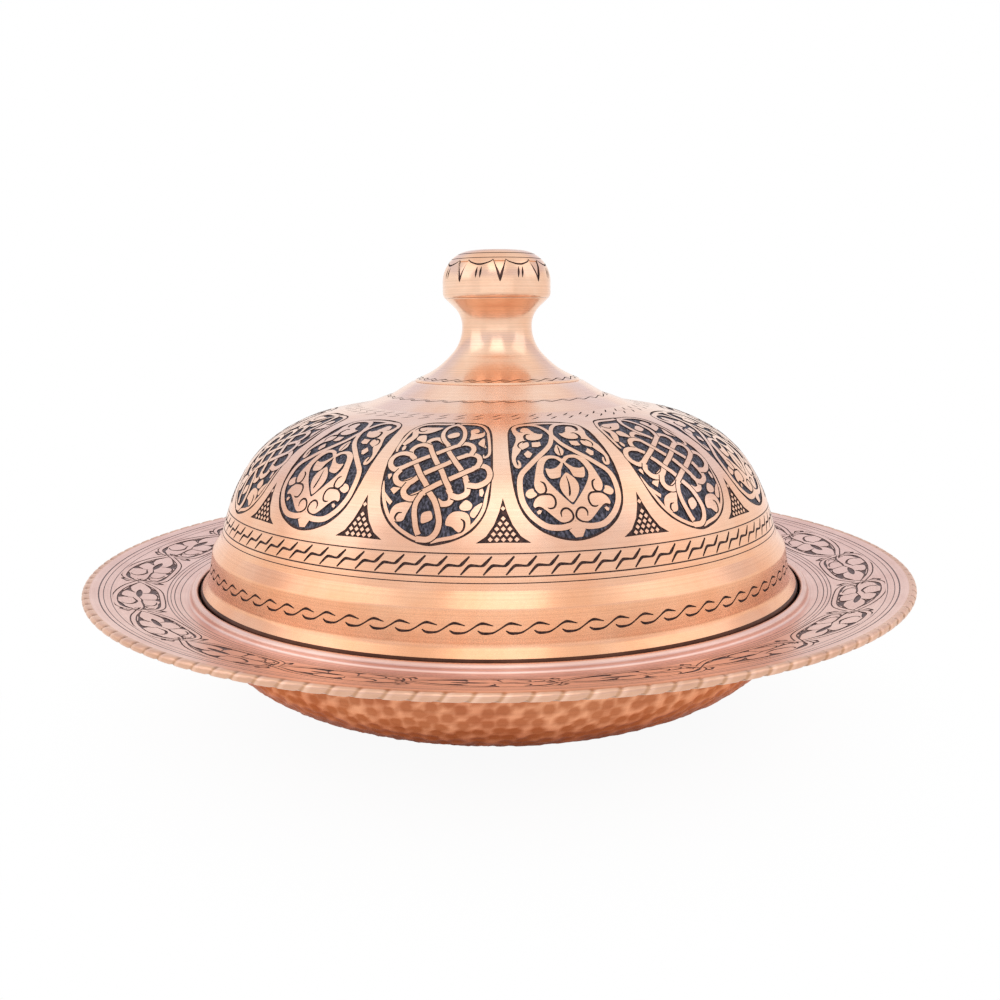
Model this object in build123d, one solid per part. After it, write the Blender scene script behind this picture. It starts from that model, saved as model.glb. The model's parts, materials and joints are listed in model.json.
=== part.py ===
from build123d import *
import os
from math import cos, radians, sin, tan

# A lidded copper dish: a hammered bowl with a broad climbing rim, and a spun dome lid that
# stands on a ledge inside the rim and is lifted by a hollow knob.
# Lengths are in millimetres. Z = 0 is the face that the dish stands on. Every sheet part is
# drawn as a section in the (radius, height) plane and turned about the Z axis.

# Sheet gauges and joints
dish_gauge = 1.2
lid_gauge = 1.0
knob_gauge = 1.0
braze_gap = 0.05
tightest_bend = 0.1

# Rim of the dish
rim_r = 140.0
rim_mid_height = 47.6
rim_slope = 12.9
hem_depth = 4.2

# Seat of the lid
seat_r = 104.6
seat_height = 39.4
ledge_width = 3.0
ledge_bend = 1.6
ledge_corner = 0.5
bead_r = 1.3
bead_stand = 2.5
lid_side_gap = 0.7
lid_rest_gap = 0.2

# Bowl below the seat: two turns, with their heights as shares of the bowl's depth
foot_r = 52.0
foot_bend = 90.0
side_turn_in = 11.9
side_turn_share = 0.3482
side_bend = 40.0
mouth_turn_share = 0.7068
mouth_bend = 20.0

# Skirt of the lid, up from its foot
foot_band = 4.0
foot_bend_r = 1.6
flare_in = 2.9
flare_rise = 3.2
flare_bend = 3.0
skirt_in = 1.6
skirt_rise = 9.8
shoulder_bend = 2.2
shoulder_in = 3.1
shoulder_rise = 4.2
shoulder_corner = 1.4

# Dome of the lid: its turns, in from the top of the shoulder, with their heights as shares of the
# dome's rise. Each bend of the dome is as large as its reach, the share that it takes up of the leg
# of the dome named beside it.
wall_turn_in = 4.5
wall_turn_share = 0.3474
wall_bend_reach = 0.409  # of the leg from wall turn to dome turn
dome_turn_in = 13.8
dome_turn_share = 0.6995
dome_bend_reach = 0.569  # of the same leg
plateau_turn_in = 31.4
plateau_turn_share = 0.9249
plateau_bend_reach = 0.4175  # of the leg from dome turn to plateau turn

# Stepped crown under the knob, down from the flat that the knob stands on
crown_height = 110.9
crown_r = 29.8
tier_1_r = 37.0
tier_1_drop = 4.3
tier_2_r = 40.2
tier_2_drop = 5.3
plateau_r = 46.0
plateau_drop = 7.5
tier_bend = 1.4
vent_r = 1.5

# Knob
knob_foot_r = 28.6
knob_foot_edge = 0.7
knob_foot_slope = 23.0
foot_overrun = 3.0
flare_turn_r = 21.2
stem_bend = 26.0
neck_r = 12.1
neck_lower_height = 12.95
neck_lower_bend = 14.0
neck_upper_height = 22.8
neck_upper_bend = 9.0
head_r = 18.6
bell_slope = 43.0
bell_corner = 0.5
lap = 4.0
head_top = 44.7
head_crown = 1.1
head_round = 10.5
stem_fillet = 2.0
cap_fillet = 1.1

# Darts chased into the knob's head
dart_count = 8
dart_width = 7.6
dart_length = 10.0
dart_depth = 1.5
dart_taper = 45.0
dart_lean = 15.0
dart_r = 17.75
dart_below_top = 4.0
first_dart = -86.4


def sheet(corners, bends, gauge, side):
    """Section of one bent sheet. Its face line turns at the corners with the radii in bends, and the
    other face runs one gauge away, on the right of that line where side is 1, on the left where -1."""
    points = [Vector(*corner) for corner in corners]
    legs = [(end - start).normalized() for start, end in zip(points, points[1:])]
    across = [Vector(leg.Y, -leg.X) * gauge * side for leg in legs]
    back = [points[0] + across[0]]
    back_bends = []
    for number, bend in enumerate(bends):
        before = across[number]
        after = across[number + 1]
        back.append(points[number + 1] + (before + after) / (1 + before.dot(after) / gauge**2))
        turns_to_back = legs[number + 1].dot(before) > 0
        back_bends.append(max(bend - gauge, tightest_bend) if turns_to_back else bend + gauge)
    back.append(points[-1] + across[-1])
    face_line = FilletPolyline(*points, radius=bends)
    back_line = FilletPolyline(*back, radius=back_bends)
    ends = [Line(points[0], back[0]), Line(points[-1], back[-1])]
    return make_face(face_line.edges() + back_line.edges() + ends)


def bend_of_reach(before, corner, after, reach):
    """Radius of the bend at a corner that takes up a length of reach on both of its legs."""
    turn = (Vector(*corner) - Vector(*before)).get_angle(Vector(*after) - Vector(*corner))
    return reach / tan(radians(turn / 2))


def block(inner_r, low, outer_r, high):
    """Rectangle of the section plane between two radii and two heights."""
    return make_face(
        Polyline((inner_r, low), (outer_r, low), (outer_r, high), (inner_r, high), close=True)
    )


def turned(section):
    return revolve(Plane.XZ * section, Axis.Z)


# Where the sheets meet, worked out from the sizes above
bowl_mouth_r = seat_r - ledge_width
hem_r = rim_r - dish_gauge
rim_in_r = seat_r + 2 * bead_r
rim_top_r = hem_r - dish_gauge * sin(radians(rim_slope))
rim_top_z = rim_mid_height + dish_gauge * cos(radians(rim_slope))
rim_in_z = rim_top_z - (rim_top_r - rim_in_r) * tan(radians(rim_slope))
bead_z = rim_in_z + bead_stand - bead_r

lid_foot_r = seat_r - lid_side_gap
lid_foot_z = seat_height + lid_rest_gap
skirt_r = lid_foot_r - flare_in
skirt_z = lid_foot_z + foot_band + flare_rise
wall_r = skirt_r - skirt_in - shoulder_in
wall_z = skirt_z + skirt_rise + shoulder_rise
plateau_z = crown_height - plateau_drop
dome_rise = plateau_z - wall_z
bowl_depth = seat_height - dish_gauge

lap_r = head_r - knob_gauge - braze_gap
bell_rise = tan(radians(bell_slope))
neck_top_z = crown_height + neck_upper_height
lap_z = neck_top_z + (lap_r - neck_r) * bell_rise
head_z = crown_height + head_top


def make_dish_body():
    """One sheet: flat foot, hammered bowl, ledge, well wall, bead, climbing rim and hemmed edge."""
    inside = [
        (0, dish_gauge),
        (foot_r, dish_gauge),
        (bowl_mouth_r - side_turn_in, dish_gauge + side_turn_share * bowl_depth),
        (bowl_mouth_r, dish_gauge + mouth_turn_share * bowl_depth),
        (bowl_mouth_r, seat_height),
        (seat_r, seat_height),
        (seat_r + bead_r / 2, rim_in_z),
        (rim_in_r, rim_in_z),
        (rim_top_r, rim_top_z),
    ]
    bends = [foot_bend, side_bend, mouth_bend, ledge_bend, ledge_corner, ledge_corner, bead_r]
    bowl = sheet(inside, bends, dish_gauge, 1)
    bead = Pos(seat_r + bead_r, bead_z) * Circle(bead_r)
    bead_root = block(seat_r, seat_height, rim_in_r, bead_z)
    hem_end = Pos(hem_r, rim_mid_height) * Circle(dish_gauge)
    fold = Rectangle(hem_depth, dish_gauge, align=(Align.MAX, Align.MAX))
    hem = Pos(hem_r, rim_mid_height) * Rot(0, 0, rim_slope) * fold
    return turned(bowl + bead + bead_root + hem_end + hem)


def make_lid_dome():
    """One spun sheet: foot band, flare, skirt, shoulder, dome and the stepped crown."""
    plateau = (plateau_r, plateau_z)
    plateau_turn = (wall_r - plateau_turn_in, wall_z + plateau_turn_share * dome_rise)
    dome_turn = (wall_r - dome_turn_in, wall_z + dome_turn_share * dome_rise)
    wall_turn = (wall_r - wall_turn_in, wall_z + wall_turn_share * dome_rise)
    wall_foot = (wall_r, wall_z)
    dome_leg = (Vector(*wall_turn) - Vector(*dome_turn)).length
    plateau_leg = (Vector(*dome_turn) - Vector(*plateau_turn)).length
    outside = [
        (vent_r, crown_height),
        (crown_r, crown_height),
        (tier_1_r, crown_height - tier_1_drop),
        (tier_2_r, crown_height - tier_2_drop),
        plateau,
        plateau_turn,
        dome_turn,
        wall_turn,
        wall_foot,
        (skirt_r - skirt_in, skirt_z + skirt_rise),
        (skirt_r, skirt_z),
        (lid_foot_r, lid_foot_z + foot_band),
        (lid_foot_r, lid_foot_z),
    ]
    bends = [tier_bend] * 4 + [
        bend_of_reach(plateau, plateau_turn, dome_turn, plateau_bend_reach * plateau_leg),
        bend_of_reach(plateau_turn, dome_turn, wall_turn, dome_bend_reach * dome_leg),
        bend_of_reach(dome_turn, wall_turn, wall_foot, wall_bend_reach * dome_leg),
    ]
    bends += [shoulder_corner, shoulder_bend, flare_bend, foot_bend_r]
    return turned(sheet(outside, bends, lid_gauge, 1))


def make_knob_stem():
    """Hollow trumpet: its foot is filed flat on the crown, and its bell ends in a lap for the cap."""
    slope = tan(radians(knob_foot_slope))
    edge_z = crown_height + knob_foot_edge
    outside = [
        (knob_foot_r + foot_overrun, edge_z - foot_overrun * slope),
        (flare_turn_r, edge_z + (knob_foot_r - flare_turn_r) * slope),
        (neck_r, crown_height + neck_lower_height),
        (neck_r, neck_top_z),
        (lap_r, lap_z),
        (lap_r, lap_z + lap),
    ]
    bends = [stem_bend, neck_lower_bend, neck_upper_bend, bell_corner]
    wall = sheet(outside, bends, knob_gauge, -1)
    return turned(wall & block(0, crown_height, knob_foot_r, head_z))


def make_knob_cap():
    """Drawn cup that closes the knob: round top, plumb side, and darts chased around it."""
    outside = [(0, head_z), (head_r, head_z - head_crown), (head_r, neck_top_z)]
    wall = sheet(outside, [head_round], knob_gauge, 1)
    lip_z = lap_z + braze_gap
    lip = Polyline(
        (head_r - knob_gauge, lip_z),
        (head_r, lip_z + knob_gauge * bell_rise),
        (head_r, head_z),
        (0, head_z),
        (0, lip_z),
        close=True,
    )
    cap = turned(wall & make_face(lip))
    return cap - [make_dart(number) for number in range(dart_count)]


def make_dart(number):
    """Cutter for one dart: a triangle on its point, laid on the round of the head, with sloping sides."""
    lean = radians(dart_lean)
    outline = Polyline((dart_width / 2, 0), (-dart_width / 2, 0), (0, -dart_length), close=True)
    cutter = extrude(make_face(outline), dart_depth, taper=dart_taper)
    stand = Plane(
        origin=(dart_r, 0, head_z - dart_below_top),
        x_dir=(0, -1, 0),
        z_dir=(-cos(lean), 0, -sin(lean)),
    )
    return Rot(0, 0, first_dart + number * 360 / dart_count) * (stand * cutter)


def make_stem_braze():
    """Fillet of braze in the wedge between the stem's foot and the crown, inside the knob."""
    slope = tan(radians(knob_foot_slope))
    wall_height = knob_gauge / cos(radians(knob_foot_slope))
    outer_r = knob_foot_r - (wall_height - knob_foot_edge) / slope
    inner_r = outer_r - stem_fillet
    wedge = Polyline(
        (outer_r, crown_height),
        (inner_r, crown_height),
        (inner_r, crown_height + stem_fillet * slope),
        close=True,
    )
    return turned(make_face(wedge))


def make_cap_braze():
    """Fillet of braze on the end of the stem's lap, against the inside of the cap."""
    wall_inside = head_r - knob_gauge
    low = lap_z + lap
    corner = Polyline(
        (wall_inside, low), (wall_inside, low + cap_fillet), (wall_inside - cap_fillet, low), close=True
    )
    return turned(make_face(corner))


parts = {
    "dish_body": make_dish_body(),
    "lid_dome": make_lid_dome(),
    "knob_stem": make_knob_stem(),
    "knob_cap": make_knob_cap(),
    "stem_braze": make_stem_braze(),
    "cap_braze": make_cap_braze(),
}

os.makedirs("parts", exist_ok=True)
for node, solid in parts.items():
    export_step(solid, f"parts/{node}.step")
    size = solid.bounding_box().size
    print(f"{node}: {solid.volume:.0f} mm3, {size.X:.1f} x {size.Y:.1f} x {size.Z:.1f} mm")
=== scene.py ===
import json
from math import atan2, ceil, cos, pi, radians, sin, tan

import bmesh
import bpy
import numpy as np
from mathutils import Matrix, Vector
from mathutils.geometry import delaunay_2d_cdt

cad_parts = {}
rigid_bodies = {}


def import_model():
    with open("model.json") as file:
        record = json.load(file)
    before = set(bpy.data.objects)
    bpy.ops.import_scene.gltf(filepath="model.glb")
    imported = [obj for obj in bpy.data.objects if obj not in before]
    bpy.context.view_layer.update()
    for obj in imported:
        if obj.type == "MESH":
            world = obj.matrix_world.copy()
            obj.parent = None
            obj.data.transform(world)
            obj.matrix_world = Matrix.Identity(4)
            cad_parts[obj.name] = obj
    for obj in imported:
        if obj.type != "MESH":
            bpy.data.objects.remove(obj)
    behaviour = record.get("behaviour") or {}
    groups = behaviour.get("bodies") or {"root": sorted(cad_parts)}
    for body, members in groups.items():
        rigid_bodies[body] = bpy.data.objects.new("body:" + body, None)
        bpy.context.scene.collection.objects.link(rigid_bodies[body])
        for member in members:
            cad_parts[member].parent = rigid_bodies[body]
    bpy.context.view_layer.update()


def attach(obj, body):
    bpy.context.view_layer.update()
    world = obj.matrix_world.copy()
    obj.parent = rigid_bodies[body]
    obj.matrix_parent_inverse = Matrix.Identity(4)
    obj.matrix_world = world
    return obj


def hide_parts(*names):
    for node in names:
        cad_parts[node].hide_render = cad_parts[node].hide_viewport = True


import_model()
mm = 0.001  # sizes below are in millimetres, meshes in metres

# What a face is. The last two are shaded flat and the others round.
metalFace, cutFace, groundFace, tinFace, hammerFace, ropeFace, gapShadeFace, wallFace, edgeFace = range(9)


# A section is a bent line of (radius, height), run so that the open side is on its right

def bentLine(corners, bends, arcStep=radians(6)):
    corners = [np.array(corner, float) for corner in corners]
    legs = [(end - start) / np.linalg.norm(end - start) for start, end in zip(corners, corners[1:])]
    leans = [atan2(-leg[0], leg[1]) for leg in legs]
    points, turns = [corners[0]], [leans[0]]
    for number, bend in enumerate(bends):
        before, after = legs[number], legs[number + 1]
        turn = atan2(before[0] * after[1] - before[1] * after[0], float(before @ after))
        side = 1 if turn > 0 else -1
        start = corners[number + 1] - before * bend * tan(abs(turn) / 2)
        centre = start + bend * side * np.array([-before[1], before[0]])
        spoke = start - centre
        steps = max(2, ceil(abs(turn) / max(arcStep, 0.3 / bend ** 0.5)))
        for step in range(steps + 1):
            part = turn * step / steps
            c, d = cos(part), sin(part)
            points.append(centre + np.array([spoke[0] * c - spoke[1] * d, spoke[0] * d + spoke[1] * c]))
            turns.append(leans[number] + part)
    points.append(corners[-1])
    turns.append(leans[-1])
    points, turns = np.array(points), np.unwrap(np.array(turns))
    keep = np.concatenate([[True], np.linalg.norm(np.diff(points, axis=0), axis=1) > 1e-5])
    points, turns = points[keep], turns[keep]
    run = np.concatenate([[0], np.cumsum(np.linalg.norm(np.diff(points, axis=0), axis=1))])
    return dict(s=run, r=points[:, 0], z=points[:, 1], lean=turns)


def onLine(line, s, depth=0.0):
    r, z, lean = [np.interp(s, line["s"], line[key]) for key in ("r", "z", "lean")]
    return r - depth * np.cos(lean), z - depth * np.sin(lean), lean


def runAt(line, r, z, after=0.0):
    # How far along the section it comes nearest to a point
    s = np.linspace(after, line["s"][-1], 20000)
    onR, onZ, _ = onLine(line, s)
    return float(s[np.argmin(np.hypot(onR - r, onZ - z))])


leastStep = 0.15  # rows of points closer than this along the section are one row
rimGap = 0.06  # cuts end this far from the rims of their cell, which stay plain


def stations(line, low, high, step):
    marks = [low] + [s for s in line["s"] if low + leastStep < s < high - leastStep] + [high]
    kept = [low]
    for s in marks[1:]:
        if s - kept[-1] < leastStep:
            continue
        count = max(1, ceil((s - kept[-1]) / step - 1e-6))
        start = kept[-1]
        kept += [start + (s - start) * (number + 1) / count for number in range(count)]
    if kept[-1] < high:
        kept = kept[:-1] + [high] if len(kept) > 1 else kept + [high]
    return kept


def sheetBack(corners, bends, gauge, side=1):
    # The other face of a bent sheet, a gauge away
    corners = [np.array(corner, float) for corner in corners]
    legs = [(end - start) / np.linalg.norm(end - start) for start, end in zip(corners, corners[1:])]
    across = [np.array([leg[1], -leg[0]]) * gauge * side for leg in legs]
    back, backBends = [corners[0] + across[0]], []
    for number, bend in enumerate(bends):
        before, after = across[number], across[number + 1]
        back.append(corners[number + 1] + (before + after) / (1 + before @ after / gauge ** 2))
        turnsToBack = legs[number + 1] @ before > 0
        backBends.append(max(bend - gauge, 0.1) if turnsToBack else bend + gauge)
    return back + [corners[-1] + across[-1]], backBends


# A skin gathers the points and faces of one spun sheet, band by band

def newSkin():
    return dict(points=[], leans=[], tracks=[], beaten=[], faces=[], kinds=[], count=0)


def addToSkin(skin, points, leans, tracks, faces, kinds, beaten=None):
    skin["points"].append(points)
    skin["leans"].append(leans)
    skin["tracks"].append(tracks)
    skin["beaten"].append(np.zeros(len(points)) if beaten is None else beaten)
    skin["faces"] += [tuple(corner + skin["count"] for corner in face) for face in faces]
    skin["kinds"] += list(kinds)
    skin["count"] += len(points)


def spinStrip(skin, line, runs, columns, kinds=metalFace, depths=0.0, inward=False, thick=0.0):
    runs = np.array(runs)
    depths = np.zeros(len(runs)) + np.array(depths)
    r, z, lean = onLine(line, runs, depths + thick)
    if np.isscalar(kinds):
        kinds = [kinds] * (len(runs) - 1)
    angles = np.arange(columns) * 2 * pi / columns
    x = np.outer(r, np.sin(angles))
    y = -np.outer(r, np.cos(angles))
    points = np.stack([x, y, np.outer(z, np.ones(columns))], axis=2).reshape(-1, 3) * mm
    tracks = np.stack([np.outer(np.ones(len(runs)), angles), np.outer(runs, np.ones(columns))], axis=2)
    faces, faceKinds = [], []
    for row in range(len(runs) - 1):
        low, high = row * columns, (row + 1) * columns
        for column in range(columns):
            after = (column + 1) % columns
            face = (low + column, low + after, high + after, high + column)
            faces.append(face[::-1] if inward else face)
            faceKinds.append(kinds[row])
    leans = np.repeat(lean + (pi if inward else 0), columns)
    addToSkin(skin, points, leans, tracks.reshape(-1, 2), faces, faceKinds)


def groovedStrip(skin, line, low, high, step, columns, grooves, kind=cutFace):
    runs, depths, kinds = [low], [0.0], []
    for middle, width, depth in sorted(grooves) + [(None, 0, 0)]:
        edge = high if middle is None else middle - width / 2
        for s in stations(line, runs[-1], edge, step)[1:]:
            runs.append(s)
            depths.append(0.0)
            kinds.append(metalFace)
        if middle is not None:
            runs += [middle, edge + width]
            depths += [depth, 0.0]
            kinds += [kind, kind]
    spinStrip(skin, line, runs, columns, kinds, depths)


def zipRings(skin, low, high, kind=metalFace):
    # Joins two rings of (line, run, depth, columns) that may have different columns
    points, tracks, leans = [], [], []
    for line, s, thick, columns in (low, high):
        r, z, lean = onLine(line, s, thick)
        angles = np.arange(columns) * 2 * pi / columns
        points.append(np.stack([r * np.sin(angles), -r * np.cos(angles), np.full(columns, z)], axis=1) * mm)
        tracks.append(np.stack([angles, np.full(columns, s)], axis=1))
        leans.append(np.full(columns, lean))
    lowColumns, highColumns = low[3], high[3]
    faces, i, j = [], 0, 0
    while i < lowColumns or j < highColumns:
        a, b = i % lowColumns, lowColumns + j % highColumns
        if (i + 1) / lowColumns <= (j + 1) / highColumns:
            faces.append((a, (i + 1) % lowColumns, b))
            i += 1
        else:
            faces.append((a, lowColumns + (j + 1) % highColumns, b))
            j += 1
    addToSkin(skin, np.vstack(points), np.hstack(leans), np.vstack(tracks), faces, [kind] * len(faces))


# Strokes and blobs of a pattern are drawn flat: x to the right, y up the section

def smoothLine(points, closed, step):
    points = np.array(points, float)
    if closed:
        ring = np.vstack([points[-1], points, points[:2]])
    else:
        ring = np.vstack([2 * points[0] - points[1], points, 2 * points[-1] - points[-2]])
    out, rows = [], len(ring) - 3
    for number in range(rows):
        a, b, c, d = ring[number:number + 4]
        count = max(1, ceil(np.linalg.norm((c - b)[:2]) / step))
        for t in np.arange(count) / count:
            bow, sway = 2 * a - 5 * b + 4 * c - d, 3 * b - a - 3 * c + d
            out.append(0.5 * (2 * b + (c - a) * t + bow * t ** 2 + sway * t ** 3))
    if not closed:
        out.append(points[-1])
    return np.array(out)


def eased(outline, slack):
    # Leaves out the points that an outline doesn't need, within slack in millimetres
    kept, count = np.zeros(len(outline), bool), len(outline)
    far = int(np.argmax(np.linalg.norm(outline - outline[0], axis=1)))
    ring = np.vstack([outline, outline[:1]])
    kept[0] = kept[far] = True
    todo = [(0, far), (far, count)]
    while todo:
        first, last = todo.pop()
        if last - first < 2:
            continue
        chord = ring[last] - ring[first]
        length = max(np.linalg.norm(chord), 1e-9)
        away = ring[first + 1:last] - ring[first]
        off = np.abs(chord[0] * away[:, 1] - chord[1] * away[:, 0]) / length
        worst = int(np.argmax(off))
        if off[worst] > slack:
            middle = first + 1 + worst
            kept[middle] = True
            todo += [(first, middle), (middle, last)]
    return outline[kept]


def stroke(points, widths, step=0.4, slack=0.03):
    widths = [widths] * len(points) if np.isscalar(widths) else widths
    path = smoothLine([(*point, width) for point, width in zip(points, widths)], False, step)
    along = np.gradient(path[:, :2], axis=0)
    along /= np.linalg.norm(along, axis=1)[:, None] + 1e-9
    side = np.stack([-along[:, 1], along[:, 0]], axis=1) * np.maximum(path[:, 2:3], 0.02) / 2
    return eased(np.vstack([path[:, :2] - side, (path[:, :2] + side)[::-1]]), slack)


def blob(points, step=0.4, slack=0.03):
    return eased(smoothLine(points, True, step), slack)


def insideOf(shape, places):
    start, end = shape, np.roll(shape, -1, axis=0)
    x, y = places[:, 0][:, None], places[:, 1][:, None]
    left = (end[:, 0] - start[:, 0]) * (y - start[:, 1]) - (x - start[:, 0]) * (end[:, 1] - start[:, 1])
    up = (start[:, 1] <= y) & (end[:, 1] > y) & (left > 0)
    down = (start[:, 1] > y) & (end[:, 1] <= y) & (left < 0)
    return (up.sum(axis=1) - down.sum(axis=1)) != 0


def cutTriangles(places, edges, layers, box):
    # The triangles between all outlines, the level of each, and the level to the left of each of their sides
    left, right, low, high = box
    flat, _, triangles, _, _, _ = delaunay_2d_cdt([Vector(p) for p in places], edges, [], 0, 1e-5, True)
    flat, triangles = np.array([tuple(p) for p in flat]), np.array([tuple(t) for t in triangles])
    middles = flat[triangles].mean(axis=1)
    keep = (middles[:, 0] > left) & (middles[:, 0] < right) & (middles[:, 1] > low) & (middles[:, 1] < high)
    triangles, middles = triangles[keep], middles[keep]
    levels = np.zeros(len(triangles), int)
    for level, shape in layers:
        near = np.all((middles >= shape.min(axis=0)) & (middles <= shape.max(axis=0)), axis=1)
        spots = np.where(near)[0]
        if len(spots):
            levels[spots[insideOf(shape, middles[spots])]] = level
    sides = {}
    for triangle, level in zip(triangles, levels):
        for a, b in zip(triangle, np.roll(triangle, -1)):
            sides[(int(a), int(b))] = int(level)
    return flat, triangles, levels, sides


def cutCell(name, line, ring, shapes, levelsOf, refR):
    # Shapes are (level, outline), a later one over an earlier one, and levels are (depth, kind of face)
    low, high = ring["band"]
    width, columns, grid = ring["pitch"], ring["columns"], ring.get("grid", 2.0)
    left = ring.get("centre", 0.0) - width / 2 + (width / columns / 2 if columns % 2 else 0.0)
    box = (left, left + width, low, high)
    rows = stations(line, low, high, grid)
    across = [left + width * i / columns for i in range(columns + 1)]
    border = [(x, low) for x in across] + [(left + width, y) for y in rows[1:-1]]
    border += [(x, high) for x in across[::-1]] + [(left, y) for y in rows[1:-1][::-1]]
    count = max(2, round(width / grid))
    inner = [(left + width * i / count, y) for y in rows[1:-1] for i in range(1, count)]
    layers = []
    for level, shape in shapes:
        for shift in (-width, 0, width):
            moved = shape + np.array([shift, 0])
            moved[:, 1] = np.clip(moved[:, 1], low + rimGap, high - rimGap)
            if moved[:, 0].max() > left + 1e-6 and moved[:, 0].min() < left + width - 1e-6:
                layers.append((level, moved))
    places, edges = [], []
    for loop in [border] + [shape for _, shape in layers]:
        first, size = len(places), len(loop)
        places += [tuple(point) for point in loop]
        edges += [(first + i, first + (i + 1) % size) for i in range(size)]

    # Outlines that a later shape covers are dropped, then the cell is cut into triangles again
    flat, triangles, levels, sides = cutTriangles(places, edges, layers, box)
    seams = [(a, b) for (a, b), level in sides.items()
             if sides.get((b, a)) != level and (a < b or (b, a) not in sides)]
    used = {point: number for number, point in enumerate(sorted({point for seam in seams for point in seam}))}
    places = [tuple(flat[point]) for point in used] + inner
    flat, triangles, levels, sides = cutTriangles(places, [(used[a], used[b]) for a, b in seams], layers, box)
    corner = {}

    def at(point, level):
        return corner.setdefault((int(point), int(level)), len(corner))

    faces = [tuple(at(point, level) for point in triangle) for triangle, level in zip(triangles, levels)]
    kinds = [levelsOf[level][1] for level in levels]
    for (a, b), level in sides.items():
        other = sides.get((b, a))
        if other is not None and levelsOf[level][0] < levelsOf[other][0]:
            faces.append((at(a, other), at(b, other), at(b, level), at(a, level)))
            kinds.append(edgeFace if levelsOf[other][1] == levelsOf[level][1] == metalFace else wallFace)
    points, leans, tracks = [], [], []
    for point, level in corner:
        x, s = flat[point]
        r, z, lean = onLine(line, s, levelsOf[level][0])
        points.append((r * sin(x / refR) * mm, -r * cos(x / refR) * mm, z * mm))
        leans.append(lean)
        tracks.append((x / refR, s))
    return markedMesh(name, np.array(points), leans, tracks, faces, kinds)


def markedMesh(name, points, leans, tracks, faces, kinds):
    mesh = bpy.data.meshes.new(name)
    mesh.from_pydata(points.tolist(), [], faces)
    mesh.attributes.new("lean", "FLOAT", "POINT").data.foreach_set("value", np.asarray(leans).ravel())
    mesh.attributes.new("track", "FLOAT2", "POINT").data.foreach_set("vector", np.asarray(tracks).ravel())
    mesh.attributes.new("kind", "INT", "FACE").data.foreach_set("value", np.array(kinds, dtype=np.int32))
    return mesh


def gridCell(name, line, width, runs, columns, refR, depthAt, kind=hammerFace):
    x = np.linspace(-width / 2, width / 2, columns + 1)
    across, along = np.meshgrid(x, np.array(runs))
    r, z, lean = onLine(line, along, depthAt(across, along))
    points = np.stack([r * np.sin(across / refR), -r * np.cos(across / refR), z], axis=2).reshape(-1, 3) * mm
    tracks = np.stack([across / refR, along], axis=2)
    wide = columns + 1
    faces = [(row * wide + i, row * wide + i + 1, (row + 1) * wide + i + 1, (row + 1) * wide + i)
             for row in range(len(runs) - 1) for i in range(columns)]
    return markedMesh(name, points, lean, tracks, faces, [kind] * len(faces))


# A value for a node is its own setting, a socket to link from, or what one of its sockets holds
def socketOf(sockets, key):
    return sockets[key] if isinstance(key, str) else [socket for socket in sockets if socket.enabled][key]


def fill(tree, node, values):
    for key, value in values.items():
        if isinstance(key, str) and hasattr(node, key):
            setattr(node, key, value)
        elif isinstance(value, bpy.types.NodeSocket):
            tree.links.new(value, socketOf(node.inputs, key))
        else:
            socketOf(node.inputs, key).default_value = value
    return node


def addNode(tree, kind, values={}):
    return fill(tree, tree.nodes.new(kind), values)


def shapeTree(name, inputs, nodes, links):
    tree = bpy.data.node_groups.new(name, "GeometryNodeTree")
    for label, kind in inputs.items():
        tree.interface.new_socket(label, in_out="INPUT", socket_type="NodeSocket" + kind)
    tree.interface.new_socket("Geometry", in_out="OUTPUT", socket_type="NodeSocketGeometry")
    made = {label: addNode(tree, *parts) for label, parts in nodes.items()}
    for source, out, target, into in links:
        tree.links.new(socketOf(made[source].outputs, out), socketOf(made[target].inputs, into))
    return tree


# One cell of a pattern is set out all the way round
ringOfCells = shapeTree(
    "cellsInARing",
    {"Cell": "Geometry", "Count": "Int", "Weld": "Float", "Metal": "Material", "Engraving": "Material"},
    {"in": ("NodeGroupInput",), "points": ("GeometryNodePoints",), "index": ("GeometryNodeInputIndex",),
     "angle": ("ShaderNodeMath", {"operation": "DIVIDE", 0: 2 * pi}),
     "turn": ("ShaderNodeMath", {"operation": "MULTIPLY"}), "spin": ("ShaderNodeCombineXYZ",),
     "set": ("GeometryNodeInstanceOnPoints",), "real": ("GeometryNodeRealizeInstances",),
     "weld": ("GeometryNodeMergeByDistance",), "metal": ("GeometryNodeSetMaterial",),
     "kind": ("GeometryNodeInputNamedAttribute", {"data_type": "INT", "Name": "kind"}),
     "isCut": ("FunctionNodeCompare", {"data_type": "INT", "operation": "EQUAL", 1: cutFace}),
     "cut": ("GeometryNodeSetMaterial",), "out": ("NodeGroupOutput",)},
    [("in", "Count", "points", "Count"), ("in", "Count", "angle", 1), ("index", 0, "turn", 0),
     ("angle", 0, "turn", 1), ("turn", 0, "spin", "Z"), ("points", 0, "set", "Points"),
     ("in", "Cell", "set", "Instance"),
     ("spin", 0, "set", "Rotation"), ("set", 0, "real", 0), ("real", 0, "weld", "Geometry"),
     ("in", "Weld", "weld", "Distance"), ("weld", 0, "metal", "Geometry"), ("in", "Metal", "metal", "Material"),
     ("metal", 0, "cut", "Geometry"), ("in", "Engraving", "cut", "Material"), ("kind", 0, "isCut", 0),
     ("isCut", "Result", "cut", "Selection"), ("cut", 0, "out", 0)])

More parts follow.
